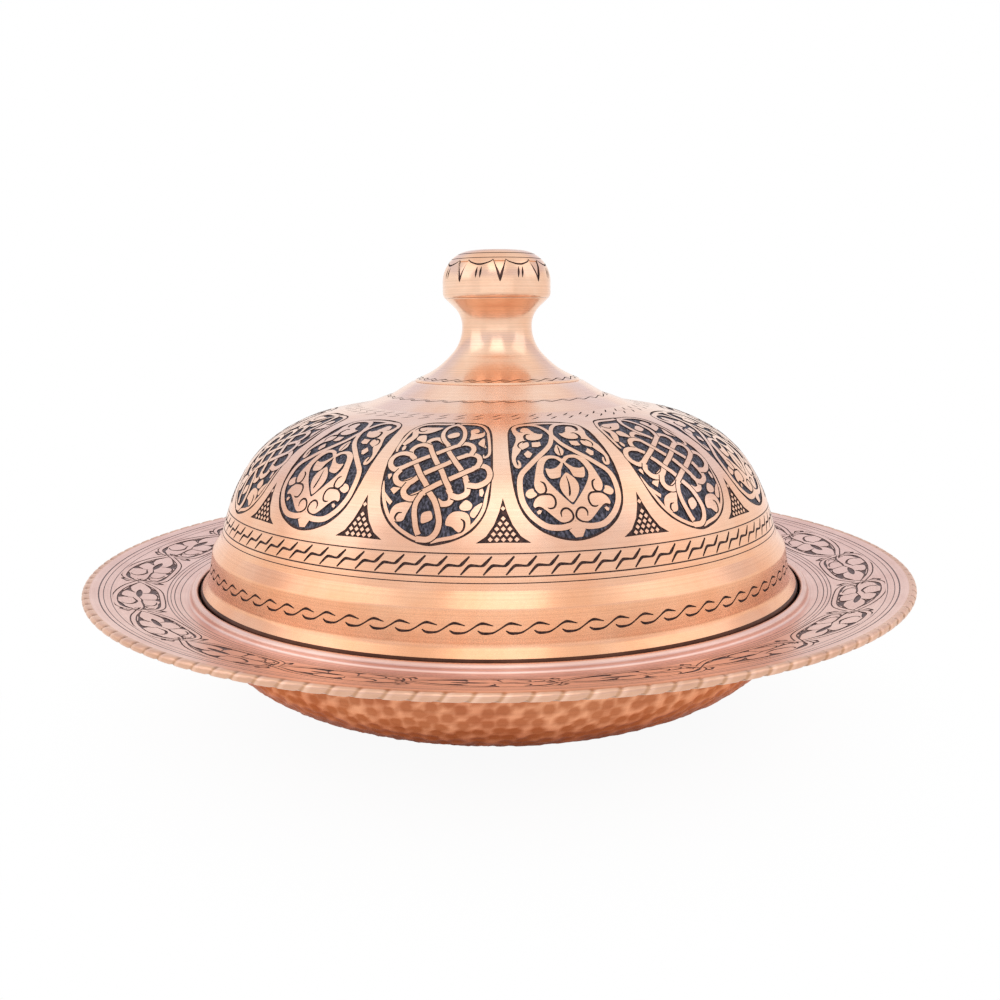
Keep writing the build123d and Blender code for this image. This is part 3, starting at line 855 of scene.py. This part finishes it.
def makeLid():
    skin, line, sizes, rings = newSkin(), lidLine, lidSizes, lidRings
    foot, columns, crown, inner = (sizes[key] for key in (
        "footColumns", "columns", "crownColumns", "innerColumns"))
    cut, gauge, zipped, top = sizes["cut"], sizes["gauge"], sizes["zip"], float(line["s"][-1])
    levels = [(0.0, metalFace), (cut, cutFace), (cut, cutFace), (cut, groundFace)]
    chain, chevrons, medallions, ticks, wave = (ring["band"] for ring in rings.values())
    # The lid's foot, up to where it rises out of the bead, is coloured dark for painted shade
    spinStrip(skin, line, stations(line, 0.0, sizes["shadedFootRun"], 2.5), foot, gapShadeFace)
    spinStrip(skin, line, stations(line, sizes["shadedFootRun"], chain[0], 3.0), foot)
    addCuts(skin, "chain", line, rings["chain"], strokesOf(rings["chain"]), levels, lidCopper, lineCut)
    zipRings(skin, (line, chain[1], 0, foot), (line, chain[1] + zipped, 0, columns))
    groovedStrip(skin, line, chain[1] + zipped, chevrons[0], 3.0, columns, lidGrooves["chain"])
    addCuts(skin, "chevron", line, rings["chevrons"], strokesOf(rings["chevrons"]), levels, lidCopper, lineCut)
    groovedStrip(skin, line, chevrons[1], medallions[0], 2.0, columns, lidGrooves["chevrons"])
    addCuts(skin, "medallions", line, rings["medallions"], allMedallions(), levels, lidCopper, lineCut)
    zipRings(skin, (line, medallions[1], 0, columns), (line, medallions[1] + zipped, 0, crown))
    groovedStrip(skin, line, medallions[1] + zipped, ticks[0], 2.0, crown, [])
    addCuts(skin, "ticks", line, rings["ticks"], strokesOf(rings["ticks"]), levels, lidCopper, lineCut)
    groovedStrip(skin, line, ticks[1], wave[0], 3.0, crown, [])
    addCuts(skin, "wave", line, rings["wave"], strokesOf(rings["wave"]), levels, lidCopper, lineCut)
    groovedStrip(skin, line, wave[1], top, 4.0, crown, [])
    spinStrip(skin, line, stations(line, 0.0, top, 5.0), inner, tinFace, inward=True, thick=gauge)
    zipRings(skin, (line, 0.0, gauge, inner), (line, 0.0, 0.0, foot), edgeFace)
    zipRings(skin, (line, top, 0.0, crown), (line, top, gauge, inner), edgeFace)
    finishOf = {metalFace: lidCopper, cutFace: lineCut, wallFace: lineCut, groundFace: groundCut,
                tinFace: tinLining, edgeFace: tinLining, gapShadeFace: tarnish}
    finishSkin("lidShell", skin, finishOf, "lid", "lid_dome")


makeLid()


knobSizes = dict(columns=192, gauge=1.0, cut=0.3, stemStep=1.0, capStep=1.2, dartWidth=4.6, dartTip=34.7,
                 dartTop=41.6, cutStep=0.4)
stemStart = (27.69, 110.9)
stemOuter = [(28.6, 111.6), (21.2, 114.74), (12.1, 123.85), (12.1, 133.7), (17.55, 138.78), (17.55, 142.78)]
stemBends = [26, 14, 9, 0.5]
stemInner, stemInnerBends = sheetBack(stemOuter, stemBends, knobSizes["gauge"], -1)
stemInner[0] = stemStart
stemLine = bentLine([stemStart, (28.6, 110.9)] + stemOuter + stemInner[::-1],
                    [0.1, 0.15] + stemBends + [0.1, 0.1] + stemInnerBends[::-1])
stemFoot = runAt(stemLine, 28.6, 111.5)
capLine = bentLine([(0, 154.6), (17.6, 153.56), (17.6, 138.83), (18.6, 139.76), (18.6, 154.5), (0, 155.6)],
                   [9.5, 0.1, 2.6, 10.5])
capGrooves = [(42.95, 0.32, 0.15), (45.6, 0.5, 0.25)]
knobRings = dict(
    wave=dict(band=(stemFoot + 0.5, stemFoot + 3.2), count=32, pitch=2 * pi * 28 / 32, columns=6, strokes=[
        (1, [(-4.4, stemFoot + 1.55), (-2.7, stemFoot + 0.9), (-0.4, stemFoot + 1.65), (1.8, stemFoot + 2.4),
             (3.8, stemFoot + 1.85)], [0.15, 0.45, 0.32, 0.45, 0.15])]),
    darts=dict(band=(33.6, 42.6), count=8, pitch=2 * pi * 18.6 / 8, columns=24, grid=1.2, turn=radians(3.6)))


def dartShapes():
    # A sunk facet with a line along both sides, a sagging line to the next dart, and two ticks below that
    sizes = knobSizes
    half, tip, top, step = sizes["dartWidth"] / 2, sizes["dartTip"], sizes["dartTop"], sizes["cutStep"]
    pitch = knobRings["darts"]["pitch"]
    shapes = [(3, np.array([(-half, top), (0, tip), (half, top)]))]
    for side in (-1, 1):
        arm = [(side * half, top + 0.3), (side * half * 0.62, top - 2.2), (side * half * 0.3, top - 4.3),
               (side * 0.08, tip + 0.3), (0, tip - 0.5)]
        shapes.append((1, stroke(arm, [0.25, 0.5, 0.85, 0.7, 0.1], step)))
    sag = [(half, top + 0.5), (half + 1.2, top - 0.5), (pitch * 0.4, top - 1.35), (pitch * 0.5, top - 1.5),
           (pitch * 0.6, top - 1.35), (pitch - half - 1.2, top - 0.5), (pitch - half, top + 0.5)]
    shapes.append((1, stroke(sag, [0.25, 0.45, 0.62, 0.68, 0.62, 0.45, 0.25], step)))
    for x in (pitch / 2 - 0.85, pitch / 2 + 0.65):
        shapes.append((1, stroke([(x + 0.25, 39.2), (x, 37.3), (x - 0.2, 35.5)], [0.15, 0.75, 0.15], step)))
    return shapes


def makeKnob():
    columns, cut, rings = knobSizes["columns"], knobSizes["cut"], knobRings
    levels = [(0.0, metalFace), (cut, cutFace), (cut, cutFace), (cut, metalFace)]
    finishOf = {metalFace: knobCopper, cutFace: lineCut, wallFace: lineCut, edgeFace: knobCopper}
    skin, line, step = newSkin(), stemLine, knobSizes["stemStep"]
    low, high = rings["wave"]["band"]
    spinStrip(skin, line, stations(line, 0.0, low, step), columns)
    addCuts(skin, "footWave", line, rings["wave"], strokesOf(rings["wave"]), levels, knobCopper, lineCut)
    spinStrip(skin, line, stations(line, high, float(line["s"][-1]), step), columns)
    finishSkin("knobStem", skin, finishOf, "lid", "knob_stem")

    skin, line, step = newSkin(), capLine, knobSizes["capStep"]
    low, high = rings["darts"]["band"]
    spinStrip(skin, line, stations(line, 0.0, low, step), columns)
    addCuts(skin, "darts", line, rings["darts"], dartShapes(), levels, knobCopper, lineCut)
    groovedStrip(skin, line, high, float(line["s"][-1]), step, columns, capGrooves)
    finishSkin("knobHead", skin, finishOf, "lid", "knob_cap")


makeKnob()


dishSizes = dict(columns=378, underColumns=252, bowlColumns=462, lowerColumns=336, innerColumns=126,
                 edgeColumns=780, gauge=1.2, rimSlope=radians(12.9), rimMid=47.6, hemR=138.8, hemDepth=4.2,
                 cut=0.22, zoneR=76.0, hammerStep=1.4)
# The run taken up by each strip of triangles where the number of columns changes
dishZips = dict(foot=1.5, zone=1.2, mouth=0.8, edge=0.6, rim=0.6, bead=0.6)
hammerSizes = dict(Depth=0.00048, Spacing=0.0039, MarkRadius=0.0028, Seed=7)
hammerFade = 2.0  # mm from the rims of the beaten zone to where the blows are full
# Notches round the edge, a slanted hollow each, and their paintedTones from one notch to the next: painted
# shade in each hollow and a painted highlight on the land just after it
notchSizes = dict(count=130, radius=139.0, height=47.5, slant=0.75, width=0.6, depth=0.4, fade=0.5, paintedTones=[
    (0.0, (0.68, 0.6, 0.5)), (0.06, (0.72, 0.64, 0.54)), (0.14, white), (0.22, white),
    (0.36, (0.88, 0.84, 0.8)), (0.9, (0.86, 0.82, 0.78)), (1.0, (0.68, 0.6, 0.5))])
edgeCopper = metal("edgeCopper", (0.94, 0.60, 0.44), (0.80, 0.48, 0.34), (0.28, 0.4), 1.2, notchShading=notchSizes)
dishInside = [(0, 1.2), (52, 1.2), (89.7, 14.5), (101.6, 28.2), (101.6, 39.4), (104.6, 39.4), (105.25, 41.6),
              (107.2, 41.6), (138.532, 48.77)]
dishBends = [90, 40, 20, 1.6, 0.5, 0.5, 1.3]
dishBead = [(107.2, 41.6), (107.2, 44.1), (104.6, 44.1), (104.6, 39.4)]


def makeDishLine():
    # Up the outside, round the hem, along the rim, over the bead and down the inside
    under, underBends = sheetBack(dishInside, dishBends, dishSizes["gauge"])
    slope, gauge = dishSizes["rimSlope"], dishSizes["gauge"]
    along, up = np.array([cos(slope), sin(slope)]), np.array([-sin(slope), cos(slope)])
    hem = np.array([dishSizes["hemR"], dishSizes["rimMid"]])
    fold = hem - dishSizes["hemDepth"] * along
    edge = [fold, fold - gauge * up, hem + gauge * (along - up), hem + gauge * (along + up)]
    bends = underBends + [0.15, 0.35, gauge, gauge, 0.8, 1.3, 1.3, 0.5, 1.6, 20, 40, 90]
    return bentLine(under[:-1] + edge + dishBead + dishInside[4::-1], bends)


def onRim(radius):
    edgeR, edgeZ = 138.53, 48.77
    return radius, edgeZ - (edgeR - radius) * tan(dishSizes["rimSlope"])


dishLine = makeDishLine()
# Where one strip of the dish ends and the next begins: the place that it comes after, radius and height
dishPlaces = dict(foot=("start", 50.0, 0.0), mouth=("start", 102.8, 37.0), hemLow=("mouth", 137.6, 46.1),
                  hemTop=("hemLow", 137.7, 48.58), bandOut=("hemTop", *onRim(131.0)),
                  bandIn=("hemTop", *onRim(114.9)), wellTop=("bandIn", 104.6, 42.9),
                  beadEnd=("wellTop", 104.6, 40.5), ledgeEnd=("beadEnd", 101.6, 38.6))
dishRuns = dict(start=0.0)
for dishPlace, (placeBefore, placeR, placeZ) in dishPlaces.items():
    dishRuns[dishPlace] = runAt(dishLine, placeR, placeZ, dishRuns[placeBefore])
# Radius, width and depth
rimGrooves = dict(outer=[(135.0, 0.4, 0.12), (133.6, 0.25, 0.1), (131.5, 0.25, 0.1)],
                  inner=[(114.5, 0.3, 0.12), (113.4, 0.25, 0.1), (112.2, 0.3, 0.12), (110.4, 0.25, 0.1)])
rimRing = dict(band=(dishRuns["bandOut"], dishRuns["bandIn"]), count=21, pitch=2 * pi * 125 / 21, columns=18,
               grid=2.4, turn=radians(-79.1 + 0.5 * 360 / 21))
# The rim's border, traced in 1/24 mm: x from one crossing to the next, y inwards to lowest, at radius.
# Levels: 0 face, 1 ground, 2 line.
rimTrace = dict(crossing=130.0, wide=898.0, pixel=24.0, lowest=612, radius=113.7, boost=1.3, slack=0.045)
rimRows = [
    (1, 0, "118,330 150,285 178,262 150,228 118,205 88,228 100,262 110,290"),
    (1, 0, "95,395 130,440 165,480 150,520 128,548 100,520 85,480 80,440"),
    (0, 0, "128,300 150,262 130,232 110,262"), (0, 0, "128,425 146,470 130,510 108,475"),
    (2, 50, "1028,360 1015,300 985,250 930,215 860,203 740,200 620,208 500,228 400,250 300,280 200,322 "
            "130,350 60,385"),
    (0, 29, "1028,360 1015,300 985,250 930,215 860,203 740,200 620,208 500,228 400,250 300,280 200,322 "
            "130,350 60,385"),
    (2, 50, "1028,352 1020,410 995,470 940,515 860,540 720,552 560,552 420,540 320,512 250,470 190,420 "
            "130,358 80,310"),
    (0, 29, "1028,352 1020,410 995,470 940,515 860,540 720,552 560,552 420,540 320,512 250,470 190,420 "
            "130,358 80,310"),
    (1, 0, "335,306 375,290 430,276 470,268 455,300 430,318 380,316"),
    (1, 0, "600,236 680,226 662,262 640,296 618,262"),
    (1, 0, "810,228 870,224 930,238 975,270 1000,310 970,290 925,262 860,250"),
    (1, 0, "300,455 350,475 455,462 480,440 482,475 470,520 420,512 350,498"),
    (1, 0, "620,524 665,495 705,522 665,532"),
    (1, 0, "755,528 800,510 880,500 975,470 940,500 870,522"),
    (1, 0, "385,384 430,366 505,358 575,362 625,380 580,398 505,406 430,402"),
    (2, [4, 11, 13, 13, 12, 9, 4], "200,402 250,432 300,456 350,470 420,468 465,455 490,425"),
    (2, [4, 9, 11, 12, 11, 9, 4], "180,352 240,330 300,312 360,303 430,316 470,335 495,352"),
    (2, [4, 9, 11, 11, 11, 11, 10, 9, 4], "495,352 470,322 450,290 480,265 545,250 605,248 630,270 655,300 "
            "645,345"),
    (2, [4, 10, 14, 16, 14, 12, 9, 4], "645,332 690,345 750,360 800,346 835,328 858,300 852,268 820,245"),
    (2, [4, 10, 12, 12, 12, 12, 10, 4], "625,380 700,400 750,396 820,398 890,400 950,392 1000,372 1028,358"),
    (2, [4, 12, 13, 10, 4], "955,350 1000,348 1015,325 1000,300 975,300"),
    (2, [4, 9, 11, 11, 9, 4], "500,410 478,440 470,480 500,510 570,520 630,512"),
    (2, [4, 10, 11, 9], "700,402 688,440 675,475 665,500"),
    (2, [4, 9, 11, 11, 9, 4], "830,400 862,420 870,450 850,478 800,498 740,506"),
    (2, [4, 9, 10, 9, 4], "885,440 905,412 940,418 955,445 925,470"),
]


def rimRun(radius):
    return runAt(dishLine, *onRim(radius), dishRuns["hemTop"])


def rimShapes():
    shapes, trace, pitch = [], rimTrace, rimRing["pitch"]
    start, pixel, slack = rimRun(trace["radius"]), trace["pixel"], trace["slack"]
    for level, wide, text in rimRows:
        points = [((px - trace["crossing"]) / trace["wide"] * pitch - pitch / 2,
                   start - (trace["lowest"] - py) / pixel) for px, py in pathOf(text)]
        if wide == 0:
            shapes.append((level, blob(points, slack=slack)))
        else:
            widths = [w * trace["boost"] / pixel for w in wide] if isinstance(wide, list) else wide / pixel
            shapes.append((level, stroke(points, widths, slack=slack)))
    return shapes


def addHammered(skin, line, low, high):
    sizes, part = dishSizes, newSkin()
    middle = runAt(line, sizes["zoneR"], 0.0, low)
    fewer, more, step = sizes["lowerColumns"], sizes["bowlColumns"], sizes["hammerStep"]
    spinStrip(part, line, stations(line, low, middle, step), fewer, hammerFace)
    above = middle + dishZips["zone"]
    zipRings(part, (line, middle, 0, fewer), (line, above, 0, more), hammerFace)
    spinStrip(part, line, stations(line, above, high, step), more, hammerFace)
    mesh = markedMesh("bowlWall", np.vstack(part["points"]), np.hstack(part["leans"]),
                      np.vstack(part["tracks"]), part["faces"], part["kinds"])
    mergeDoubles(mesh)
    s = readAll(mesh.attributes["track"].data, "vector", 2)[:, 1]
    away = np.minimum(s - low, high - s)
    mesh.attributes.new("mask", "FLOAT", "POINT").data.foreach_set("value", np.clip(away / hammerFade, 0, 1))
    addMesh(skin, grown(mesh, hammerMarks, {**hammerSizes, "Metal": bowlCopper}))


def addNotches(skin, line, low, high, columns):
    # Notches fade out towards both rims of their strip, which starts a zip above low
    sizes, zipped = notchSizes, dishZips["edge"]
    count, radius, fade = sizes["count"], sizes["radius"], sizes["fade"]
    pitch, middle, half = 2 * pi * radius / count, (low + high) / 2 + zipped / 2, (high - low) / 2

    def notchAt(x, s):
        window = np.clip(1.25 - np.abs(s - middle) / half, 0, 0.25) * 4
        window = window * np.clip((s - low - zipped) / fade, 0, 1) * np.clip((high - s) / fade, 0, 1)
        off = (x - sizes["slant"] * (s - middle) + pitch / 2) % pitch - pitch / 2
        return sizes["depth"] * window * np.exp(-(off / sizes["width"]) ** 2)

    rows = stations(line, low + zipped, high, 0.8)
    notch = gridCell("notch", line, pitch, rows, columns // count, radius, notchAt, ropeFace)
    addRing(skin, notch, count, edgeCopper, rimLine)


def makeDish():
    skin, line, sizes = newSkin(), dishLine, dishSizes
    start, foot, mouth, hemLow, hemTop, bandOut, bandIn, wellTop, beadEnd, ledgeEnd = dishRuns.values()
    columns, under, bowl, lower, inner, edge = (sizes[key] for key in (
        "columns", "underColumns", "bowlColumns", "lowerColumns", "innerColumns", "edgeColumns"))
    cut, zips = sizes["cut"], dishZips
    levels = [(0.0, metalFace), (cut, groundFace), (cut, cutFace)]
    outer, inside = ([(rimRun(radius), width, depth) for radius, width, depth in grooves]
                     for grooves in rimGrooves.values())
    spinStrip(skin, line, stations(line, start, foot, 4.0), inner, hammerFace)
    zipRings(skin, (line, foot, 0, inner), (line, foot + zips["foot"], 0, lower), hammerFace)
    addHammered(skin, line, foot + zips["foot"], mouth)
    zipRings(skin, (line, mouth, 0, bowl), (line, mouth + zips["mouth"], 0, under))
    spinStrip(skin, line, stations(line, mouth + zips["mouth"], hemLow, 4.0), under)
    zipRings(skin, (line, hemLow, 0, under), (line, hemLow + zips["edge"], 0, edge))
    addNotches(skin, line, hemLow, hemTop, edge)
    zipRings(skin, (line, hemTop, 0, edge), (line, hemTop + zips["rim"], 0, columns))
    groovedStrip(skin, line, hemTop + zips["rim"], bandOut, 2.0, columns, outer, groundFace)
    addCuts(skin, "rimBorder", line, rimRing, rimShapes(), levels, rimCopper, rimLine)
    groovedStrip(skin, line, bandIn, wellTop, 2.0, columns, inside, groundFace)
    # The bead's inner wall and the ledge under the lid's foot are coloured dark for painted shade
    spinStrip(skin, line, stations(line, wellTop, beadEnd, 2.0), columns, gapShadeFace)
    zipRings(skin, (line, beadEnd, 0, columns), (line, beadEnd + zips["bead"], 0, inner), gapShadeFace)
    spinStrip(skin, line, stations(line, beadEnd + zips["bead"], ledgeEnd, 2.0), inner, gapShadeFace)
    spinStrip(skin, line, stations(line, ledgeEnd, float(line["s"][-1]), 3.0), inner, tinFace)
    finishOf = {metalFace: rimCopper, cutFace: rimLine, wallFace: rimLine, groundFace: rimHatch,
                tinFace: tinLining, hammerFace: bowlCopper, ropeFace: edgeCopper, gapShadeFace: tarnish}
    finishSkin("dishShell", skin, finishOf, "dish", "dish_body")


makeDish()

for name in ("stem_braze", "cap_braze"):
    node = [thing for thing in bpy.data.objects if thing.name.startswith(name)][0]
    node.data.materials.clear()
    node.data.materials.append(brazeBrass)


cameraSizes = dict(lens=36.322, distance=355.8, height=131.96, pitch=0.1773, roll=0.0083, shift=0.0016)


def makeCamera():
    camera = bpy.data.cameras.new("photoCamera")
    camera.lens = cameraSizes["lens"]
    camera.shift_x = cameraSizes["shift"]
    camera.clip_start = 0.01
    holder = bpy.data.objects.new("photoCamera", camera)
    bpy.context.scene.collection.objects.link(holder)
    place = Matrix.Translation((0, -cameraSizes["distance"] * mm, cameraSizes["height"] * mm))
    tilt = Matrix.Rotation(pi / 2 - cameraSizes["pitch"], 4, "X")
    turn = tilt @ Matrix.Rotation(-cameraSizes["roll"], 4, "Z")
    holder.matrix_world = place @ turn
    bpy.context.scene.camera = holder


# x, y, z, width and height in metres, and power in watts, of each soft lamp
lampSizes = dict(crest=(0.0, -1.2, 1.6, 1.0, 1.3, 3.0), front=(0.0, -1.7, 0.3, 2.4, 0.3, 0.7),
                 left=(-1.5, -0.4, 1.1, 1.2, 1.4, 3.0), right=(1.5, -0.2, 1.2, 1.2, 1.4, 2.4))
lampAim = (0, 0, 0.07)
# White to 16 degrees above the horizon, pale lavender above it, and white again overhead, by the sine
roomTones = [(0.0, white), (0.28, white), (0.34, (0.80, 0.82, 0.96)), (0.56, (0.84, 0.86, 0.97)), (0.74, white),
             (1.0, white)]
roomOnMatt, roomInGloss = 0.8, 1.0


def makeLight():
    for name, (x, y, z, width, height, power) in lampSizes.items():
        lamp = bpy.data.lights.new(name + "Lamp", "AREA")
        lamp.shape, lamp.size, lamp.size_y, lamp.energy = "RECTANGLE", width, height, power
        holder = bpy.data.objects.new(name + "Lamp", lamp)
        bpy.context.scene.collection.objects.link(holder)
        aim = Vector(lampAim) - Vector((x, y, z))
        holder.matrix_world = Matrix.Translation((x, y, z)) @ aim.to_track_quat("-Z", "Y").to_matrix().to_4x4()
    world = bpy.data.worlds.new("paleRoom")
    bpy.context.scene.world = world
    world.use_nodes = True
    tree = world.node_tree
    tree.nodes.clear()
    ray = addNode(tree, "ShaderNodeLightPath").outputs
    through = maths(tree, "MAXIMUM", ray["Is Glossy Ray"], ray["Is Transmission Ray"])
    seen = maths(tree, "MAXIMUM", ray["Is Camera Ray"], through)
    where = addNode(tree, "ShaderNodeTexCoord").outputs["Generated"]
    up = addNode(tree, "ShaderNodeSeparateXYZ", {"Vector": where}).outputs["Z"]
    room = mixed(tree, "MIX", ray["Is Camera Ray"], ramp(tree, up, roomTones), (*white, 1))
    strength = spread(tree, seen, 0.0, 1.0, roomOnMatt, roomInGloss)
    glow = addNode(tree, "ShaderNodeBackground", {"Color": room, "Strength": strength}).outputs[0]
    addNode(tree, "ShaderNodeOutputWorld", {"Surface": glow})


floorSizes = dict(radius=6.0, sides=96, drop=0.5)
# The floor glows less near the dish, so that its shadow shows: from and to a radius, and the least glow
floorGlow = {"Is Camera Ray": (0.06, 0.18, 0.94), "Is Glossy Ray": (0.065, 0.1, 0.25)}


def makeFloor():
    mesh = bpy.data.meshes.new("floor")
    work = bmesh.new()
    bmesh.ops.create_circle(work, cap_ends=True, radius=floorSizes["radius"], segments=floorSizes["sides"],
                            matrix=Matrix.Translation((0, 0, -floorSizes["drop"] * mm)))
    work.to_mesh(mesh)
    work.free()
    floorPiece = bpy.data.objects.new("floor", mesh)
    bpy.context.scene.collection.objects.link(floorPiece)
    paper, tree, shader, place = newFinish("palePaper")
    fill(tree, shader, {"Base Color": (0.9, 0.9, 0.9, 1), "Roughness": 0.9})
    ray = addNode(tree, "ShaderNodeLightPath").outputs
    reach = addNode(tree, "ShaderNodeVectorMath", {"operation": "LENGTH", 0: place}).outputs["Value"]
    shares = [maths(tree, "MULTIPLY", ray[kind], spread(tree, reach, near, far, least, 1.0, "SMOOTHSTEP"))
              for kind, (near, far, least) in floorGlow.items()]
    glow = addNode(tree, "ShaderNodeEmission").outputs[0]
    parts = {0: maths(tree, "ADD", *shares), 1: shader.outputs[0], 2: glow}
    both = addNode(tree, "ShaderNodeMixShader", parts).outputs[0]
    fill(tree, tree.nodes["Material Output"], {"Surface": both})
    mesh.materials.append(paper)


makeCamera()
makeLight()
makeFloor()
bpy.context.scene.view_settings.view_transform = "Standard"
print("camera, light and floor ready")
